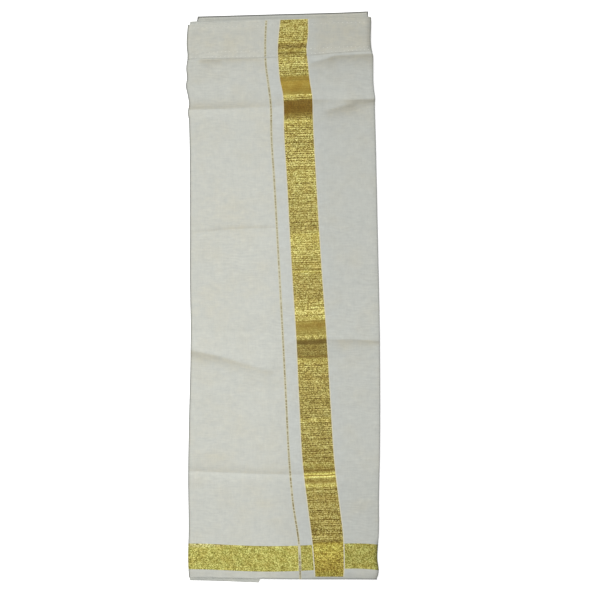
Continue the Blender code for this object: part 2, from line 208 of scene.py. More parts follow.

# How the stripe looks along its length, with the painted highlights and painted shade of its folds: tone is
# its brightness, warm is how far it turns from yellow to brown, and grain is how strongly its threads
# glitter.
TONES = table(
    "y tone warm grain",
    (530, 1.0, 0.1, 1.0),
    (520, 1.05, 0.1, 1.0),
    (486, 1.1, 0.1, 1.0),
    # a dark band with a pale row on each side, and a second dark row at the waistband's foot
    (482, 1.25, 0.1, 0.9),
    (478, 0.7, 0.6, 1.1),
    (471, 0.65, 0.6, 1.1),
    (469, 1.25, 0.1, 0.8),
    (466, 1.05, 0.2, 0.7),
    (464, 0.85, 0.2, 0.7),
    (462, 0.45, 0.8, 0.5),
    (460, 0.85, 0.4, 0.7),
    (456, 1.1, 0.1, 1.0),
    (450, 1.2, 0.0, 1.0),
    (432, 1.0, 0.1, 1.0),
    (420, 1.0, 0.1, 0.8),
    # painted sheen, smooth and satiny, on the slope up to the first fold, and painted highlights on its crest
    (417, 0.85, 0.8, 0.2),
    (411, 0.85, 0.8, 0.15),
    (408, 1.05, 0.8, 0.15),
    (402, 1.0, 0.8, 0.15),
    (394, 0.85, 1.0, 0.15),
    (386, 0.9, 0.5, 0.2),
    (382, 1.4, 0.0, 0.9),
    (378, 0.95, 0.3, 0.9),
    (376, 1.25, 0.0, 0.9),
    (374, 0.6, 0.5, 0.5),
    # in the fold's shadow
    (372, 0.45, 1.6, 0.3),
    (352, 0.45, 1.6, 0.25),
    (348, 0.6, 1.0, 0.4),
    (340, 0.8, 0.4, 0.9),
    (338, 1.15, 0.1, 0.9),
    (336, 0.9, 0.2, 0.9),
    (333, 1.4, 0.0, 0.8),
    (331, 1.1, 0.1, 1.0),
    (296, 0.95, 0.1, 1.1),
    (252, 1.0, 0.1, 1.1),
    (245, 0.85, 0.3, 0.9),
    (243, 0.65, 0.6, 0.6),
    (240, 1.05, 0.0, 0.8),
    (222, 1.0, 0.0, 0.9),
    (206, 0.9, 0.1, 0.9),
    (170, 0.85, 0.1, 0.8),
    (150, 0.8, 0.2, 0.8),
    # second fold: its painted shade and painted highlight
    (128, 0.75, 0.3, 0.8),
    (124, 0.9, 0.0, 0.8),
    (121, 1.1, 0.0, 0.6),
    (82, 1.0, 0.0, 0.8),
    (74, 0.9, 0.1, 0.8),
    (56, 0.85, 0.2, 0.7),
    (54, 0.6, 0.6, 0.4),
    (52, 0.85, 0.1, 0.7),
    (50, 1.2, 0.0, 0.5),
    (47, 0.95, 0.0, 0.7),
    (30, 0.75, 0.3, 0.8),
    (0, 0.75, 0.3, 0.8),
    (-6, 0.9, 0.1, 0.8),
    (-20, 1.0, 0.0, 0.8),
    (-41, 1.05, 0.0, 0.8),
    # painted sheen on the slope up to the third fold, a painted highlight on its crest, and its painted
    # shadow
    (-43, 0.65, 0.6, 0.3),
    (-47, 0.8, 0.5, 0.15),
    (-51, 0.65, 0.8, 0.15),
    (-58, 0.75, 0.5, 0.15),
    (-68, 0.7, 0.4, 0.3),
    (-71, 1.0, 0.0, 0.7),
    (-75, 0.8, 0.2, 0.7),
    (-77, 1.0, -0.1, 0.7),
    (-79, 0.5, 0.6, 0.3),
    (-81, 0.4, 1.0, 0.15),
    (-86, 0.35, 1.0, 0.15),
    (-88, 0.6, 0.4, 0.5),
    (-97, 0.6, 0.5, 0.5),
    (-99, 0.5, 0.6, 0.4),
    (-102, 0.6, 0.5, 0.6),
    (-106, 0.5, 0.6, 0.4),
    (-108, 0.65, 0.5, 0.5),
    (-110, 0.4, 1.2, 0.15),
    (-112, 0.5, 0.8, 0.3),
    (-114, 0.9, 0.1, 0.7),
    (-119, 1.0, 0.0, 0.7),
    (-126, 0.85, 0.2, 0.8),
    (-150, 0.75, 0.3, 0.8),
    (-226, 0.7, 0.3, 0.8),
    (-229, 1.05, 0.0, 0.7),
    (-238, 0.75, 0.2, 0.8),
    (-306, 0.75, 0.3, 0.8),
    # fourth fold: two painted highlights beside the painted shade of its sharp bottom
    (-309, 0.7, 0.5, 0.8),
    (-313, 1.0, 0.0, 0.8),
    (-321, 0.85, 0.2, 0.7),
    (-326, 0.5, 1.0, 0.4),
    (-328, 0.9, 0.1, 0.6),
    (-329.5, 0.7, 0.4, 0.6),
    (-331.5, 2.3, -0.6, 0.5),
    (-334, 0.95, 0.0, 0.5),
    (-335, 0.4, 1.2, 0.3),
    (-337, 1.6, -0.3, 0.4),
    (-339, 1.05, -0.2, 0.5),
    (-341, 0.75, 0.3, 0.5),
    (-348, 0.7, 0.5, 0.4),
    (-351, 1.0, 0.0, 0.6),
    (-354, 1.3, -0.2, 0.6),
    (-359, 0.85, 0.2, 0.7),
    (-380, 0.8, 0.3, 0.9),
    (-456, 0.85, 0.3, 1.1),
    # crossing the hem band
    (-460, 0.6, 0.5, 0.8),
    (-464, 1.0, 0.3, 0.8),
    (-470, 1.2, 0.0, 0.9),
    (-486, 1.15, 0.2, 1.0),
    (-508, 0.85, 0.6, 1.0),
    (-513, 0.7, 0.8, 0.8),
    (-515, 1.0, 0.2, 0.9),
    (-524, 0.9, 0.1, 0.9),
)

# How strongly the thin line's dark threads show along it
THREADS = table(
    "y strength",
    (530, 0.3),
    (515, 0.8),
    (440, 0.8),
    (400, 0.65),
    (382, 0.9),
    (334, 1.1),
    (318, 0.75),
    (120, 0.75),
    (40, 0.7),
    (-40, 0.75),
    (-90, 0.9),
    (-300, 1.0),
    (-462, 1.1),
    (-467, 0.15),
    (-482, 0.15),
    (-487, 1.1),
    (-532, 1.2),
)

# Soft beige patches, partly where the cloth has yellowed a little and partly painted shade beside the folds:
# centre, half sizes and strength
PATCHES = table(
    "x y wide high strength",
    (-137, 480, 10, 14, 0.5),
    (-103, 484, 12, 16, 0.6),
    (118, 503, 12, 10, 0.5),
    (130, 362, 34, 16, 0.7),
    (-60, 352, 28, 16, 0.4),
    (-28, 290, 22, 22, 0.35),
    (-110, 150, 60, 60, 0.3),
    (-42, 60, 16, 12, 0.45),
    (-120, -20, 50, 60, 0.25),
    (-140, -300, 46, 12, 0.5),
    (-90, -246, 24, 40, 0.35),
    (-114, -368, 18, 14, 0.45),
    (-56, -362, 22, 16, 0.55),
    (-38, -386, 14, 10, 0.5),
    (-14, -422, 16, 8, 0.55),
    (118, -92, 16, 10, 0.6),
    (150, 80, 24, 16, 0.25),
    (150, -390, 14, 14, 0.4),
)

# How beige the cloth is, where 0 is a cool white
BEIGE_LEFT = 0.26  # left of the thin line
BEIGE_RIGHT = 0.14  # right of the stripe
BEIGE_BAND = 0.2  # more in the waistband
BEIGE_BAND_RIGHT = 0.34  # and more there, right of the stripe
BEIGE_PATCH = 0.6  # in a patch of strength 1
BEIGE_SLOPE = 4.0  # for each unit of slope facing away from the sun: painted shade in the creases

# Hidden plies from the floor up: how far each stands out past the front ply at the waist's left end, middle
# and right end, how far its waist corners stand in, how far its side folds stand in, and its reach past the
# hem at the left, where it stops, and right of that
PLIES = table(
    "reach_l reach_m reach_r corner_l corner_r side_l side_r hem_l hem_stop hem_r",
    (-2.0, -2.0, -2.0, 3.0, 3.0, 1.2, 1.8, 6.4, 8.3, -1.5),
    (16.5, 12.0, 11.5, 18.0, 6.0, 1.0, 2.0, -2.0, -1.8, -1.6),
    (11.4, 6.4, 5.6, 18.8, 6.8, 1.9, 0.9, -2.6, -2.4, -2.4),
    (-1.5, -1.0, -1.2, 4.0, 3.0, 2.4, 1.4, -1.2, -1.6, -1.6),
    (-2.2, -1.6, -1.8, 3.4, 2.4, 1.0, 0.7, -2.0, -1.8, -1.2),
    (6.2, 3.4, 0.8, 4.2, 1.4, 0.9, 1.3, -1.0, -1.0, -1.0),
)
FURTHEST = 1  # the ply that shows furthest above the waist
HEM_STOP = -43.0  # x where the lowest ply stops along the hem

# The folded edge of one ply, from its foot to its top: the share of its height, how far it is set back there,
# and how much painted shade it gets as it turns away
ROLLED_EDGE = table(
    "level back dark",
    (0.05, 0.8, 0.5),
    (0.22, 0.2, 0.6),
    (0.5, 0.0, 0.62),
    (0.75, 0.25, 0.62),
    (0.9, 0.9, 0.56),
    (0.97, 1.7, 0.3),
    (1.0, 2.6, 0.0),
)
NECK_LEVEL, NECK_BACK, NECK_DARK = 1.01, 3.2, 0.1  # between two plies, inside both, with a little painted shade

# Low, uneven waves: height, size (a half to a third of the wave's length), how much each runs along x and
# along y, and its phase
WAVES = table(
    "high size along_x along_y phase",
    (0.16, 61.0, 0.9, 0.3, 0.4),
    (0.12, 37.0, -0.5, 1.1, 1.9),
    (0.10, 88.0, 1.3, -0.8, 3.1),
    (0.05, 19.0, 0.2, 1.4, 0.7),
    (0.03, 13.0, -0.9, 0.9, 2.2),
)

# -------------------- the cloth's form


def smooth(t):
    """A smooth step from 0 at t = 0 to 1 at t = 1, level on both sides."""
    t = np.clip(t, 0.0, 1.0)
    return t * t * (3.0 - 2.0 * t)


def rise(value, start, length):
    """A smooth step from 0 at start to 1 at start + length."""
    return smooth((value - start) / length)


def near(distance, reach):
    """1 on a line, about a third at its reach, and next to nothing at twice its reach."""
    return np.exp(-((distance / reach) ** 2))


def guide(places):
    """x along y, on a smooth curve through its places."""
    ys, xs = np.array(places, float).T
    slopes = np.gradient(xs, ys)

    def x_at(y):
        k = np.clip(np.searchsorted(ys, y) - 1, 0, len(ys) - 2)
        run, climb = ys[k + 1] - ys[k], xs[k + 1] - xs[k]
        t = np.clip((y - ys[k]) / run, 0.0, 1.0)
        bulge = (slopes[k] * run - climb) * (1 - t) - (slopes[k + 1] * run - climb) * t
        return xs[k] + climb * t + t * (1 - t) * bulge

    return x_at


def column(rows, name):
    """A column of a table along y, in straight runs between its rows."""
    rows = sorted(rows)
    ys = [row.y for row in rows]
    values = [getattr(row, name) for row in rows]
    return lambda y: np.interp(y, ys, values)


left_edge, right_edge, line_at, stripe_left, stripe_right = (
    guide(places) for places in (LEFT_FOLD, RIGHT_FOLD, LINE, STRIPE_LEFT, STRIPE_RIGHT)
)
tone_at, warm_at, grain_at = (column(TONES, name) for name in ("tone", "warm", "grain"))
thread_at = column(THREADS, "strength")


def offset(place, by):
    """A guide moved to the right."""
    return lambda y: place(y) + by


def shifted(line, by):
    """A line across the cloth moved towards the waist."""
    return Across(*(y + by for y in line))


def across(line, x):
    """y of a line across the cloth, on a smooth curve through its five places."""
    fit = np.polyfit(ACROSS_X, line, 4)
    return np.polyval(fit, x)


def crease_height(x, y, crease):
    """How far one crease lifts the cloth, or sinks it."""
    run = math.hypot(crease.x1 - crease.x0, crease.y1 - crease.y0)
    dx, dy = (crease.x1 - crease.x0) / run, (crease.y1 - crease.y0) / run
    along = (x - crease.x0) * dx + (y - crease.y0) * dy
    off = (y - crease.y0) * dx - (x - crease.x0) * dy
    share = np.clip(along / run, 0.0, 1.0)

    def at(pair):
        return pair[0] + (pair[1] - pair[0]) * share

    reach = np.where(off > 0, at(crease.above), at(crease.below))
    away = np.sqrt(off**2 + crease.crest**2) - crease.crest
    ends = smooth(0.5 + along / crease.ends) * smooth(0.5 + (run - along) / crease.ends)
    return at(crease.high) * np.exp(-away / reach) * ends


def ripples(x, y):
    """Height of the low, uneven waves of cloth that was pressed and then handled."""
    total = 0.0
    for wave in WAVES:
        bend = 0.7 * np.sin(y / 143.0 + wave.phase) + 0.5 * np.sin(x / 97.0 - wave.phase)
        turn = (wave.along_x * x + wave.along_y * y) / wave.size * 2 + wave.phase + bend
        total = total + wave.high * np.sin(turn)
    return total


def sag(distance, deep, reach):
    """How far the cloth sinks at this distance in from an edge: deep at the edge, and 0 past the reach."""
    return deep * (1 - smooth(distance / reach))


def cloth_top(x, y):
    """Height of the front ply's upper face."""
    height = FRONT_TOP + BAND_RISE * rise(y, start=400.0, length=60.0)
    for crease in CREASES:
        height = height + crease_height(x, y, crease)
    height = height + ripples(x, y) * (1 - 0.6 * rise(y, start=440.0, length=20.0))
    height = height - sag(x - left_edge(y), deep=0.45, reach=8.0)
    height = height - sag(right_edge(y) - x, deep=0.7, reach=9.0)
    height = height - sag(y - across(HEM_EDGE, x), deep=0.8, reach=16.0)
    return height - sag(across(WAIST_EDGE, x) - y, deep=0.5, reach=14.0)


def band_top(x, y):
    """Height of the waistband's upper face, drawn down along its rows of stitches."""
    height = cloth_top(x, y) + BAND_STEP - sag(right_edge(y) - x, deep=0.8, reach=11.0)
    for row in (STITCH_TOP, STITCH_UPPER, STITCH_LOWER):
        height = height - STITCH_PULL * near(y - across(row, x), reach=1.6)
    swing = np.sin(x / 3.6 + 2 * np.sin(y / 11.0))
    return height + PUCKER * swing * near(y - across(STITCH_LOWER, x), reach=9.0)


def slope(x, y):
    """How steeply the front ply rises towards the waist."""
    step = 0.6
    return (cloth_top(x, y + step) - cloth_top(x, y - step)) / (2 * step)


def in_band(x, y):
    """0 on the front ply and 1 on the waistband."""
    return rise(y - across(BAND_FOOT, x), start=-3.0, length=6.0)


def beige(x, y):
    """How far the cloth turns from a cool white to beige: on its own, in patches, and as painted shade on the
    creases' slopes that face away from the sun.
    """
    left_of_line = 1 - rise(x - line_at(y), start=-7.0, length=12.0)
    past_stripe = rise(x - stripe_right(y), start=5.0, length=26.0)
    total = BEIGE_LEFT * left_of_line + BEIGE_RIGHT * past_stripe
    total = total + in_band(x, y) * (BEIGE_BAND + BEIGE_BAND_RIGHT * past_stripe)
    for patch in PATCHES:
        away = ((x - patch.x) / patch.wide) ** 2 + ((y - patch.y) / patch.high) ** 2
        total = total + BEIGE_PATCH * patch.strength * np.exp(-away)
    # painted shade: beige on the slopes that face away from the sun
    total = total + BEIGE_SLOPE * np.clip(slope(x, y) - 0.03, 0.0, 0.3)
    return np.clip(total, 0.0, 1.5)


def shade(x, y):
    """How far the cloth's colour is darkened, mostly by painted shade: 1, less a share for each thing that
    darkens it.
    """
    from_left, from_right = x - left_edge(y), right_edge(y) - x
    from_hem, band = y - across(HEM_EDGE, x), in_band(x, y)
    towards_right = rise(x, start=-50.0, length=136.0)
    towards_waist = rise(y, start=230.0, length=120.0)
    towards_hem = rise(-y, start=300.0, length=60.0)
    past_stop = rise(x, start=HEM_STOP - 2.0, length=4.0)
    darker = (
        # broad and faint painted shade, as the light falls off: darker towards the right side, the waist and
        # the hem
        0.105 * towards_right * (1 + 0.25 * towards_hem),
        0.02 * towards_waist + 0.015 * towards_hem,
        # painted shade on the two side folds where they turn away, the right one wider beside the hem border
        0.75 * near(from_left, reach=1.9),
        0.6 * near(from_right, reach=1.6),
        0.3 * near(from_right, reach=4.0) * rise(-y, start=452.0, length=12.0),
        # painted shade along the hem, darkest where no ply shows under it
        (0.1 + 0.65 * past_stop) * near(from_hem, reach=1.5),
        0.12 * rise(x, start=30.0, length=50.0) * near(from_hem, reach=6.0),
        # the waistband a little darker, and painted shade at its right end where it turns down
        0.035 * band,
        0.22 * band * near(from_right, reach=6.5),
        # slopes that face away from the sun
        0.5 * np.clip(slope(x, y) - 0.04, 0.0, 0.3),
    )
    return math.prod(1 - share for share in darker)


# -------------------- meshes


def add_mesh(name, points, faces, material):
    """A smooth-shaded mesh in the scene, from places in millimetres."""
    mesh = bpy.data.meshes.new(name)
    mesh.from_pydata((np.asarray(points, float) * MM).tolist(), [], faces)
    mesh.materials.append(material)
    mesh.polygons.foreach_set("use_smooth", [True] * len(mesh.polygons))
    made = bpy.data.objects.new(name, mesh)
    bpy.context.scene.collection.objects.link(made)
    return made


def set_values(mesh, **attributes):
    """A value for each point of a mesh, under each name, for its material to read."""
    for key, value in attributes.items():
        layer = mesh.attributes.new(key, "FLOAT", "POINT")
        layer.data.foreach_set("value", np.asarray(value, np.float32).ravel())


def grid_faces(index):
    """The four-sided faces of a grid, from the index of each of its points."""
    corners = (index[:-1, :-1], index[:-1, 1:], index[1:, 1:], index[1:, :-1])
    return np.stack([corner.ravel() for corner in corners], 1).tolist()


def shell(name, x, y, z, thick, material, **attributes):
    """A closed shell of cloth: its upper face is the grid of points."""
    points = np.stack([x, y, z], -1).reshape(-1, 3)
    made = add_mesh(name, points, grid_faces(np.arange(x.size).reshape(x.shape)), material)
    set_values(made.data, **attributes)
    wall = made.modifiers.new("thickness", "SOLIDIFY")
    wall.thickness = thick * MM
    wall.offset = -1.0
    bpy.context.view_layer.update()
    solid = bpy.data.meshes.new_from_object(made.evaluated_get(bpy.context.evaluated_depsgraph_get()))
    solid.set_sharp_from_angle(angle=SHARP)
    made.modifiers.clear()
    made.data = solid
    return made


def lip(radius, steps, skirt=0.0, turn=90.0, flat=()):
    """(inset, drop) from the end of a rolled edge to where it meets the flat, and on along it."""
    arc = [math.radians(turn) * k / steps for k in range(steps, -1, -1)]
    curve = [(radius - radius * math.sin(a), radius - radius * math.cos(a)) for a in arc]
    below = [(curve[0][0], curve[0][1] + skirt)] if skirt else []
    return below + curve + [(inset, 0.0) for inset in flat]


# Ends of a sheet, as (inset, drop) from its very edge to where it is flat
CUT = [(0.0, 0.0), (0.35, 0.0)]  # a cut edge, lying flat
SEWN_DOWN = [(0.0, 0.36), (1.5, 0.29), (4.0, 0.12), (6.5, 0.02), (8.0, 0.0)]  # the waistband's foot
TUCKED = [(0.0, 0.8), (2.0, 0.6), (4.5, 0.12), (6.0, 0.0)]  # the front ply's end under the waistband
SHADE_FADE_INSETS = (1.4, 2.0, 2.8)  # insets along a fold where its painted shade fades


def spread(low_lip, high_lip, count):
    """Places from 0 to 1 with a lip's (inset, drop) at each end, as three arrays: share, inset, drop.
    An inset is counted from the low end, or back from the high end when it is below zero."""
    share = [0.0] * len(low_lip) + [k / (count + 1) for k in range(1, count + 1)] + [1.0] * len(high_lip)
    inset = [i for i, _ in low_lip] + [0.0] * count + [-i for i, _ in reversed(high_lip)]
    drop = [d for _, d in low_lip] + [0.0] * count + [d for _, d in reversed(high_lip)]
    return np.array(share), np.array(inset), np.array(drop)


def sheet_grid(left_of, right_of, low, high, sides, ends, columns, step):
    """x, y, drop and share of the width, for a grid between two lines down the cloth and two across it."""
    u, inset_u, drop_u = spread(sides[0], sides[1], columns)
    middle = (left_of(0.0) + right_of(0.0)) / 2
    lower, upper = across(low, middle), across(high, middle)
    v, inset_v, drop_v = spread(ends[0], ends[1], int((upper - lower) / step))
    y = lower + v[:, None] * (upper - lower) + 0 * u[None, :]
    # x hangs on y and y on x, and three rounds bring them together
    for _ in range(3):
        x = left_of(y) + u[None, :] * (right_of(y) - left_of(y)) + inset_u[None, :]
        lower, upper = across(low, x), across(high, x)
        y = lower + v[:, None] * (upper - lower) + inset_v[:, None]
    return x, y, np.maximum(drop_u[None, :], drop_v[:, None]), u[None, :] + 0 * y


def front_cloth(material):
    """The front ply, rolled under at its side folds and at the hem."""
    fold = lip(FOLD_RADIUS, steps=7, turn=165.0, flat=SHADE_FADE_INSETS)
    hem = lip(HEM_RADIUS, steps=3, flat=SHADE_FADE_INSETS)
    head = shifted(BAND_FOOT, TUCK)
    x, y, drop, _ = sheet_grid(
        left_edge, right_edge, HEM_EDGE, head, sides=(fold, fold), ends=(hem, TUCKED), columns=64, step=1.9
    )
    z = cloth_top(x, y) - drop
    return shell("front_cloth", x, y, z, PLY, material, beige=beige(x, y), shade=shade(x, y))


def waist_band(material):
    """The waistband, with rolled edges and a foot that its stitches hold down."""
    side = lip(BAND_RADIUS, steps=5, skirt=0.5, flat=SHADE_FADE_INSETS)
    top = lip(BAND_RADIUS, steps=5, skirt=0.6, flat=SHADE_FADE_INSETS)
    x, y, drop, _ = sheet_grid(
        left_edge, right_edge, BAND_FOOT, WAIST_EDGE, sides=(side, side), ends=(SEWN_DOWN, top), columns=170,
        step=1.0,
    )
    z = band_top(x, y) - drop
    return shell("waist_band", x, y, z, PLY, material, beige=beige(x, y), shade=shade(x, y))


def strip(name, left_of, right_of, low, high, columns, step, top, material, lift=SKIN_LIFT, thick=SKIN,
          sides=(CUT, CUT), ends=(CUT, CUT), bright=1.0):
    """A border lying on the cloth between two lines down it and two lines across it."""
    x, y, drop, side = sheet_grid(left_of, right_of, low, high, sides, ends, columns, step)
    # bands of light run with the threads, which rise a little to the right and waver
    middle = (stripe_left(y) + stripe_right(y)) / 2
    at = y - THREAD_TILT * (x - middle) + THREAD_WAVER * np.sin(x / 11.0 + y / 29.0)
    # painted shade where a border turns down over a side fold
    fold_shade_right = 1 - 0.72 * near(right_edge(y) - x, reach=3.8)
    fold_shade_left = 1 - 0.2 * near(x - left_edge(y), reach=1.4)
    # the border's shade: its painted light, bright, times the painted shade over the folds
    return shell(
        name, x, y, top(x, y) + lift - drop, thick, material,
        tone=tone_at(at), warm=warm_at(at), grain=grain_at(at), thread=thread_at(y), side=side,
        along=at * MM, rich=rise(-at, start=-RICH_FROM, length=RICH_RUN),
        shade=bright * fold_shade_right * fold_shade_left,
    )


def rim_path(rows, columns):
    """Rows and columns of the points round a grid's edge, once round."""
    path = (
        [(0, i) for i in range(columns - 1)]
        + [(j, columns - 1) for j in range(rows - 1)]
        + [(rows - 1, i) for i in range(columns - 1, 0, -1)]
        + [(j, 0) for j in range(rows - 1, 0, -1)]
    )
    return np.array(path).T


def ply_extent(k, ply, u, waist, turn):
    """How far one ply's edge stands in from the left, right, waist and hem, all round the stack."""
    wander = 0.28 * np.sin(turn * 9 + 2.1 * k) + 0.18 * np.sin(turn * 23 + 4.7 * k)
    wander = wander + 0.1 * np.sin(turn * 57 + k)
    reach_waist = (
        ply.reach_l * (1 - u) * (1 - 2 * u) + ply.reach_m * 4 * u * (1 - u) + ply.reach_r * u * (2 * u - 1)
    )
    stop = (HEM_STOP - left_edge(HEM_LEVEL)) / (right_edge(HEM_LEVEL) - left_edge(HEM_LEVEL))
    reach_hem = np.where(u < stop, ply.hem_l + (ply.hem_stop - ply.hem_l) * u / stop, ply.hem_r)
    inset_l = ply.side_l + waist * (ply.corner_l - ply.side_l) + wander * (1 - waist)
    inset_r = ply.side_r + waist * (ply.corner_r - ply.side_r) + wander * (1 - waist)
    return np.stack([inset_l, inset_r, -reach_waist, -reach_hem])


def plies(material):
    """The plies under the front one: rounded all round, flat below, with a top that follows the cloth."""
    u, v = np.linspace(0, 1, 90), np.linspace(0, 1, 264)
    x = left_edge(0.0) + u[None, :] * (right_edge(0.0) - left_edge(0.0)) + 0 * v[:, None]
    low, high = across(HEM_EDGE, x), across(WAIST_EDGE, x)
    y = low + v[:, None] * (high - low)
    x = left_edge(y) + u[None, :] * (right_edge(y) - left_edge(y))
    z = cloth_top(x, y) - 2 * FOLD_RADIUS - PLY_GAP

    rim = tuple(rim_path(*x.shape))
    around = len(rim[0])
    rim_x, rim_y, rim_z, rim_u = x[rim], y[rim], z[rim], u[rim[1]]
    waist = smooth(1 - (high[rim] - rim_y) / 90.0)
    hem = smooth(1 - (rim_y - low[rim]) / 60.0)
    turn = np.arange(around) / around * 2 * np.pi
    extents = [ply_extent(k, ply, rim_u, waist, turn) for k, ply in enumerate(PLIES)]
    points, dark = [], []

    def ring(extent, back, level, darker, at_waist=0.0):
        """A ring of points round the stack, set back from a ply's extent."""
        inset_l, inset_r, short_waist, short_hem = extent + back
        ring_x = rim_x + inset_l * (1 - rim_u) - inset_r * rim_u
        ring_y = rim_y - waist * short_waist + hem * short_hem
        points.append(np.stack([ring_x, ring_y, rim_z * level / len(PLIES)], 1))
        # painted shade: darker towards the waist and inside the folds, most on the ply that shows furthest
        # above the waist;
        # and painted light: a little paler on the set-back parts along the hem, to lift the shadow the plies
        # above cast there
        paler = 0.45 * hem * (back > 1.5)
        dark.append(1.0 - 0.09 * waist - darker * (0.6 + at_waist * waist - 0.4 * hem) + paler)

    for k, extent in enumerate(extents):
        stretch, at_waist = (1.25, 0.7) if k == FURTHEST else (1.0, -0.3)
        for roll in ROLLED_EDGE:
            ring(extent, roll.back * stretch, k + roll.level, roll.dark, at_waist)
        if k + 1 < len(PLIES):
            ring(np.maximum(extent, extents[k + 1]), NECK_BACK, k + NECK_LEVEL, NECK_DARK)
    points[0][:, 2] = 0.0
    points[-1][:, 2] = rim_z

    # a flat foot, the rings' walls, and the top, whose outermost points are the last ring's
    rings = len(points)
    walls = np.arange(rings * around).reshape(rings, around)
    walls = np.concatenate([walls, walls[:, :1]], 1)
    top = np.full(x.shape, -1)
    top[rim] = walls[-1, :-1]
    inner = top < 0
    top[inner] = rings * around + np.arange(inner.sum())
    faces = [tuple(range(around))[::-1]] + grid_faces(walls) + grid_faces(top)
    points = np.concatenate([*points, np.stack([x[inner], y[inner], z[inner]], 1)])
    dark = np.concatenate([*dark, np.ones(inner.sum())])

    made = add_mesh("under_plies", points, faces, material)
    set_values(made.data, beige=0.25 + 0.3 * rise(points[:, 0], start=20.0, length=60.0), shade=dark)
    made.data.set_sharp_from_angle(angle=SHARP)
    return made


def stitch_points(x, y, z, half, wide, tilt):
    """A short rod with rounded ends that dip into the cloth."""
    points = []
    for along, size in STITCH_RINGS:
        for k in range(STITCH_SIDES):
            a = 2 * math.pi * k / STITCH_SIDES
            off = wide * size * math.cos(a)
            up = STITCH_HIGH * size * math.sin(a) - STITCH_DIP * along**2
            run = along * half
            points.append((x + run - off * math.sin(tilt), y + run * math.tan(tilt) + off, z + up))
    return points


def stitch_faces(base):
    """The faces of a stitch whose points begin at base: its sides, then its two ends."""
    faces = []
    for ring in range(len(STITCH_RINGS) - 1):
        a = base + ring * STITCH_SIDES
        b = a + STITCH_SIDES
        for k in range(STITCH_SIDES):
            m = (k + 1) % STITCH_SIDES
            faces.append((a + k, a + m, b + m, b + k))
    last = base + (len(STITCH_RINGS) - 1) * STITCH_SIDES
    faces.append(tuple(base + k for k in range(STITCH_SIDES))[::-1])
    faces.append(tuple(last + k for k in range(STITCH_SIDES)))
    return faces


def stitches(name, rows, material):
    """Every stitch of some rows as one mesh, a little uneven, with none on the stripe."""
    rng = np.random.default_rng(11)
    points, faces = [], []
    for row, start, stop, pitch, long in rows:
        x = start
        while x < stop:
            step = pitch * rng.uniform(0.94, 1.06)
            if stripe_left(BAND_MIDDLE) - 4 < x < stripe_right(BAND_MIDDLE) + 2:
                x += step
                continue
            y = float(across(row, x)) + rng.normal(0, 0.12)
            tilt = rng.normal(0, 0.07) + 0.04
            half = long * rng.uniform(0.36, 0.5)
            wide = STITCH_WIDE * rng.uniform(0.75, 1.15)
            z = float(band_top(np.array(x), np.array(y))) + STITCH_LIFT
            faces += stitch_faces(len(points))
            points += stitch_points(x, y, z, half, wide, tilt)
            x += step
    return add_mesh(name, points, faces, material)


def joined(name, pieces):
    """Several meshes as one piece."""
    with bpy.context.temp_override(active_object=pieces[0], selected_editable_objects=pieces):
        bpy.ops.object.join()
    pieces[0].name = name
    pieces[0].data.name = name
    return pieces[0]


def down_the_cloth(name, left_of, right_of, end, columns, material, step=1.0, **sizes):
    """A border from a line near the hem, over the front ply and the waistband, to the waist edge."""
    under_band = shifted(BAND_FOOT, 0.8)
    on_cloth = strip(
        name + "_cloth", left_of, right_of, end, under_band, columns, step, cloth_top, material, **sizes
    )
    band_end = shifted(BAND_FOOT, -0.2)
    rolled = (SEWN_DOWN, lip(BAND_RADIUS, steps=5, skirt=0.3))
    on_band = strip(
        name + "_band", left_of, right_of, band_end, WAIST_EDGE, columns, step, band_top, material,
        ends=rolled, **sizes,
    )
    return joined(name, [on_cloth, on_band])


# -------------------- materials


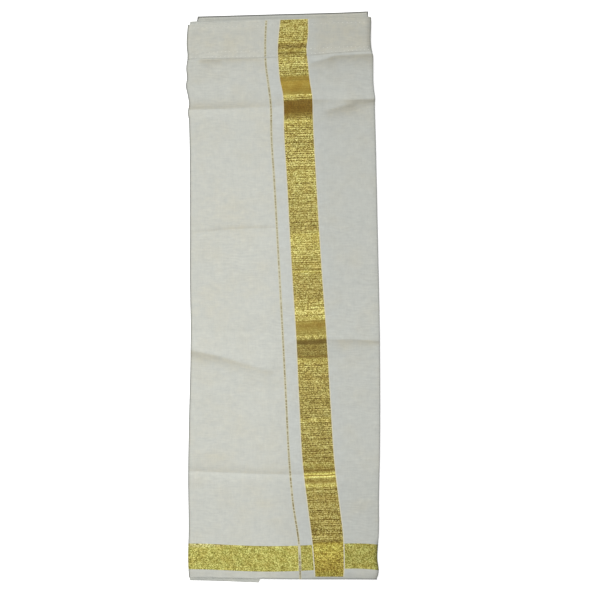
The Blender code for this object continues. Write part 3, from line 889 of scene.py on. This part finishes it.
class Graph:
    """A material with one Principled shader, and short ways to add nodes to it."""

    def __init__(self, name, **constants):
        self.material = bpy.data.materials.new(name)
        self.material.use_nodes = True
        self.tree = self.material.node_tree
        self.shader = self.tree.nodes["Principled BSDF"]
        for key, value in constants.items():
            self.shader.inputs[key.replace("_", " ")].default_value = value
        self.place = self.add("ShaderNodeTexCoord").outputs["Object"]

    def add(self, kind, inputs=None, **settings):
        node = self.tree.nodes.new(kind)
        for key, value in settings.items():
            setattr(node, key, value)
        for key, value in (inputs or {}).items():
            self.plug(value, node.inputs[key])
        return node

    def plug(self, value, socket):
        if isinstance(value, bpy.types.NodeSocket):
            self.tree.links.new(value, socket)
        else:
            socket.default_value = value

    def scaled(self, x, y, turn=0.0):
        """The place on the cloth, with this many units to a metre along x and y."""
        inputs = {"Vector": self.place, "Scale": (x, y, 1.0), "Rotation": (0.0, 0.0, turn)}
        return self.add("ShaderNodeMapping", inputs).outputs["Vector"]

    def noise(self, where, detail, rough=0.5):
        inputs = {"Vector": where, "Scale": 1.0, "Detail": detail, "Roughness": rough}
        return self.add("ShaderNodeTexNoise", inputs).outputs["Fac"]

    def cells(self, where, scale):
        """A random value for each grain of a field of grains."""
        node = self.add("ShaderNodeTexVoronoi", {"Vector": where, "Scale": scale, "Randomness": 1.0})
        return self.add("ShaderNodeSeparateColor", {"Color": node.outputs["Color"]}).outputs["Red"]

    def wave(self, where, scale, axis, distort, curl=1.5):
        inputs = {"Vector": where, "Scale": scale, "Distortion": distort, "Detail": 1.0, "Detail Scale": curl}
        return self.add("ShaderNodeTexWave", inputs, bands_direction=axis).outputs["Fac"]

    def math(self, kind, a, b=0.0, c=0.0):
        node = self.add("ShaderNodeMath", operation=kind)
        for value, socket in zip((a, b, c), node.inputs):
            self.plug(value, socket)
        return node.outputs[0]

    def product(self, first, *others):
        for value in others:
            first = self.math("MULTIPLY", first, value)
        return first

    def centred(self, value):
        """A value between 0 and 1, moved to swing about 0."""
        return self.math("SUBTRACT", value, 0.5)

    def about(self, value, amount):
        """A factor that swings about 1 by some of a value that swings about a half."""
        return self.math("MULTIPLY_ADD", value, amount, 1.0 - amount * 0.5)

    def between(self, value, low, high, to_low=0.0, to_high=1.0):
        inputs = {"Value": value, "From Min": low, "From Max": high, "To Min": to_low, "To Max": to_high}
        return self.add("ShaderNodeMapRange", inputs, clamp=True).outputs["Result"]

    def attribute(self, name):
        return self.add("ShaderNodeAttribute", attribute_name=name).outputs["Fac"]

    def ramp(self, value, *stops):
        node = self.add("ShaderNodeValToRGB", {"Fac": value})
        points = node.color_ramp.elements
        while len(points) < len(stops):
            points.new(0.5)
        for point, (place, colour) in zip(points, stops):
            point.position = place
            point.color = (*colour, 1.0)
        return node.outputs["Color"]

    def mix(self, factor, a, b, kind="MIX"):
        node = self.add("ShaderNodeMix", data_type="RGBA", blend_type=kind)
        self.plug(factor, node.inputs["Factor"])
        for value, socket in ((a, node.inputs[6]), (b, node.inputs[7])):
            self.plug(value if isinstance(value, bpy.types.NodeSocket) else (*value, 1.0), socket)
        return node.outputs[2]

    def times(self, colour, red, green=None, blue=None):
        """A colour with its channels multiplied."""
        by = self.add("ShaderNodeCombineColor", {"Red": red, "Green": green or red, "Blue": blue or red})
        return self.mix(1.0, colour, by.outputs[0], "MULTIPLY")

    def bump(self, height, strength, distance, under=None):
        inputs = {"Height": height, "Strength": strength, "Distance": distance}
        if under is not None:
            inputs["Normal"] = under
        return self.add("ShaderNodeBump", inputs).outputs["Normal"]

    def finish(self, **links):
        for key, value in links.items():
            self.plug(value, self.shader.inputs[key.replace("_", " ")])
        return self.material


def cotton(name):
    """Thin plain-weave cotton: threads, slubs, a faint watered look as of plies below, some yellowing, and
    painted shade, darker and partly beige, from its points.
    """
    g = Graph(name, Roughness=0.86, Sheen_Weight=0.1, Sheen_Roughness=0.5, Specular_IOR_Level=0.25)
    threads_across = g.wave(g.scaled(1, 1), 300.0, "Y", distort=0.6)
    threads_down = g.wave(g.scaled(1, 1), 330.0, "X", distort=0.6)
    weave = g.math("MAXIMUM", threads_across, threads_down)
    weft = g.noise(g.scaled(60, 560), detail=2.0)
    warp = g.noise(g.scaled(620, 120), detail=2.0)
    streaks = g.noise(g.scaled(330, 40, turn=0.42), detail=1.0)
    watered = g.wave(g.scaled(1.0, 2.1), 22.0, "Y", distort=15.0, curl=0.9)
    where = g.noise(g.scaled(9, 6), detail=1.0)
    mottle = g.noise(g.scaled(70, 95), detail=3.0, rough=0.65)
    cloud = g.noise(g.scaled(17, 21), detail=3.0, rough=0.6)
    rings = g.product(g.centred(watered), g.between(where, 0.42, 0.62, to_low=0.006, to_high=0.044))
    # the threads' own light and dark, times the painted shade that the points carry
    light = g.product(
        g.about(weft, 0.16), g.about(warp, 0.10), g.about(mottle, 0.25), g.about(streaks, 0.08),
        g.math("ADD", rings, 1.0), g.attribute("shade"),
    )
    amount = g.product(g.attribute("beige"), g.between(mottle, 0.3, 0.7, to_low=0.6, to_high=1.4))
    amount = g.math("ADD", amount, g.between(cloud, 0.46, 0.74, to_low=0.0, to_high=0.4))
    base = g.mix(g.math("MINIMUM", amount, 1.6), WHITE_COTTON, BEIGE_COTTON)
    normal = g.bump(weave, strength=0.3, distance=0.00012)
    normal = g.bump(weft, strength=0.2, distance=0.0003, under=normal)
    return g.finish(Base_Color=g.times(base, light), Normal=normal)


def zari(name, gold, charted):
    """Gold thread: rows of threads and grains of glitter, painted as glints and shade in its colour, and, if
    charted, the stripe's painted light and shade along it.
    """
    g = Graph(name, Metallic=0.45, Specular_IOR_Level=0.4)
    x = g.add("ShaderNodeSeparateXYZ", {"Vector": g.place}).outputs["X"]
    along, rich = g.attribute("along"), g.attribute("rich")

    def with_threads(per_x, per_y):
        """The place on the border, measured along and across its threads."""
        scaled = {"X": g.product(x, per_x), "Y": g.product(along, per_y)}
        return g.add("ShaderNodeCombineXYZ", scaled).outputs[0]

    # the rows of threads, their drift and their loose ones, which paint bands of glint and shade
    drift = g.noise(with_threads(5, 26), detail=1.0)
    turn = g.product(along, 2 * math.pi / (THREAD_ROWS * MM))
    turn = g.math("MULTIPLY_ADD", drift, 14.0, turn)
    loose = g.between(g.noise(with_threads(7, 760), detail=0.0), 0.28, 0.72, to_low=-0.5, to_high=0.5)
    rows = g.math("MULTIPLY_ADD", g.math("SINE", turn), 0.26, g.product(loose, 0.8))

    # the swing between the painted shadow and the painted glint of the gold
    grain = g.cells(g.scaled(1.0, 1.1), 640.0)
    fine = g.noise(g.scaled(900, 1000), detail=0.0)
    swing = g.product(rows, g.math("MULTIPLY_ADD", rich, -0.75 * gold.rows, gold.rows))
    swing = g.math("MULTIPLY_ADD", g.centred(grain), gold.grains, swing)
    swing = g.math("MULTIPLY_ADD", g.centred(fine), 0.5, swing)
    if charted:
        swing = g.product(swing, g.attribute("grain"))
    colour = g.ramp(g.math("ADD", swing, 0.5), (0.0, gold.dark), (0.5, gold.middle), (1.0, gold.bright))

    # brightness and warmth in random patches, times the painted light and shade that the border's points
    # carry
    patch = g.noise(g.scaled(55, 70), detail=2.0)
    warm = g.product(g.centred(patch), 1.6)
    light = g.product(g.about(patch, -0.35), g.attribute("shade"))
    if charted:
        warm = g.math("MULTIPLY_ADD", warm, 0.8, g.attribute("warm"))
        light = g.product(light, g.attribute("tone"))
    green = g.product(light, g.math("SUBTRACT", 1.0, g.product(warm, 0.2)))
    less_blue = g.math("MAXIMUM", g.math("SUBTRACT", 1.0, g.product(warm, 0.5)), 0.1)
    blue = g.product(light, g.math("MULTIPLY_ADD", rich, -0.3, 1.0), less_blue)
    rough = g.between(grain, 0.0, 1.0, to_low=0.55, to_high=0.38)
    normal = g.bump(g.math("MULTIPLY_ADD", rows, 0.6, grain), strength=0.3, distance=0.0004)
    return g.finish(Base_Color=g.times(colour, light, green, blue), Roughness=rough, Normal=normal)


def line_thread(name):
    """The thin line: a pale cord with dark gold threads broken up along its middle."""
    g = Graph(name, Roughness=0.6, Metallic=0.15)
    from_middle = g.math("ABSOLUTE", g.centred(g.attribute("side")))
    core = g.between(from_middle, 0.2, 0.36, to_low=1.0, to_high=0.0)
    broken = g.between(g.noise(g.scaled(90, 330), detail=1.0), 0.38, 0.58, to_low=0.2, to_high=1.0)
    amount = g.product(core, broken, g.attribute("thread"))
    base = g.mix(g.math("MINIMUM", amount, 1.0), LINE_CORD, LINE_THREADS)
    return g.finish(Base_Color=base, Normal=g.bump(core, strength=0.3, distance=0.0002))


def plain(name, colour, roughness):
    """Thread of one colour, with the light and dark of its fibres."""
    g = Graph(name, Roughness=roughness, Sheen_Weight=0.1)
    fibre = g.noise(g.scaled(900, 1600), detail=2.0)
    normal = g.bump(fibre, strength=0.3, distance=0.0002)
    return g.finish(Base_Color=g.times(colour, g.about(fibre, 0.3)), Normal=normal)


# -------------------- building

cotton_front, cotton_band, cotton_under = (
    cotton(name) for name in ("cotton_cloth", "cotton_waistband", "cotton_under_plies")
)
stripe_gold = zari("zari_gold", STRIPE_GOLD, charted=True)
hem_gold = zari("zari_hem_gold", HEM_GOLD, charted=False)
line_cord = line_thread("zari_line_thread")
selvage_thread = plain("selvage_thread", SELVAGE_THREADS, 0.8)
stitch_thread = plain("stitch_thread", SEWING_THREAD, 0.7)

front = front_cloth(cotton_front)
band = waist_band(cotton_band)
under = plies(cotton_under)

line_left, line_right = offset(line_at, -LINE_WIDTH / 2), offset(line_at, LINE_WIDTH / 2)
stripe = down_the_cloth("end_stripe", stripe_left, stripe_right, STRIPE_END, 18, stripe_gold)
thin = down_the_cloth("thin_line", line_left, line_right, HEM_EDGE, 9, line_cord, step=2.0)
selvage = joined(
    "selvage_threads",
    [
        down_the_cloth(
            f"selvage_{k}", offset(place, low), offset(place, low + SELVAGE), STRIPE_END, 2, selvage_thread,
            step=2.5, thick=SELVAGE_THICK, lift=SELVAGE_LIFT,
        )
        for k, (place, low) in enumerate(((stripe_left, -SELVAGE), (stripe_right, 0.0)))
    ],
)

fold_over = lip(FOLD_RADIUS + SKIN_LIFT, steps=5, turn=80.0)
fold_left, fold_right = offset(left_edge, -SKIN_LIFT), offset(right_edge, SKIN_LIFT)
# the hem borders' bright is painted light: brighter on the left and darker on the right, as the light falls
# off
hem_left, hem_middle, hem_right = (
    strip(
        name, left_of, right_of, HEM_FOOT, HEM_TOP, columns, SKIN_STEP, cloth_top, hem_gold, sides=sides,
        bright=bright,
    )
    for name, left_of, right_of, columns, sides, bright in (
        ("hem_band_left", fold_left, line_left, 90, (fold_over, CUT), 1.05),
        ("hem_band_middle", line_right, offset(stripe_left, -SELVAGE), 14, (CUT, CUT), 0.98),
        ("hem_band_right", offset(stripe_right, SELVAGE), fold_right, 28, (CUT, fold_over), 0.93),
    )
)

# rows of stitches: line, x of the two ends, spacing of the stitches and their length
sewing = stitches(
    "waistband_stitches",
    (
        (STITCH_TOP, -168.0, 160.0, 8.0, 3.6),
        (STITCH_UPPER, -170.0, 162.0, 7.7, 3.4),
        (STITCH_LOWER, -172.0, 162.0, 7.7, 3.4),
    ),
    stitch_thread,
)

for piece, slot, nodes in (
    (front, "cotton", ["front_panel"]),
    (band, "cotton_band", ["waistband"]),
    (under, "cotton_under", ["hidden_layers"]),
    (stripe, "zari", ["zari_stripe"]),
    (thin, "zari", ["zari_line"]),
    (hem_left, "zari_hem", ["zari_hem_left"]),
    (hem_middle, "zari_hem", ["zari_hem_middle"]),
    (hem_right, "zari_hem", ["zari_hem_right"]),
    (selvage, "cotton", []),
    (sewing, "cotton_band", []),
):
    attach(piece, "root")
    if nodes:
        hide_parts(*nodes)

# -------------------- floor, light and camera

paper = Graph("floor_paper", Roughness=0.9, Emission_Color=WHITE_LIGHT, Emission_Strength=GLOW)
paper_tone = paper.noise(paper.scaled(3, 3), detail=2.0)
paper.finish(Base_Color=paper.mix(paper_tone, *PAPER))
floor = add_mesh(
    "floor",
    [(x * FLOOR_HALF, y * FLOOR_HALF, 0) for x, y in ((-1, -1), (1, -1), (1, 1), (-1, 1))],
    [(0, 1, 2, 3)],
    paper.material,
)


def light(name, kind, place, aim, power, **settings):
    """A light at a place in metres, turned towards its aim."""
    data = bpy.data.lights.new(name, kind)
    data.energy = power
    for key, value in settings.items():
        setattr(data, key, value)
    made = bpy.data.objects.new(name, data)
    bpy.context.scene.collection.objects.link(made)
    made.location = place
    made.rotation_mode = "QUATERNION"
    made.rotation_quaternion = (Vector(aim) - Vector(place)).to_track_quat("-Z", "Y")


light("key", "SUN", (-1.1, 2.4, 1.7), (0.0, 0.0, 0.0), KEY_POWER, angle=math.radians(16))
light("overhead", "AREA", (-0.18, -0.12, 1.4), (-0.10, -0.10, 0.0), OVERHEAD_POWER, shape="SQUARE", size=1.0)

world = bpy.data.worlds.new("studio")
world.use_nodes = True
background = world.node_tree.nodes["Background"].inputs
background["Color"].default_value = WHITE_LIGHT
background["Strength"].default_value = SKY
scene = bpy.context.scene
scene.world = world
scene.view_settings.view_transform = "Standard"

camera_data = bpy.data.cameras.new("camera")
camera_data.lens = LENS
camera_data.sensor_width = SENSOR
camera_data.clip_start, camera_data.clip_end = 0.1, 50.0
camera = bpy.data.objects.new("camera", camera_data)
scene.collection.objects.link(camera)
camera.location = (VIEW_X * MM, VIEW_Y * MM, (FRONT_TOP + VIEW_WIDTH * LENS / SENSOR) * MM)
scene.camera = camera
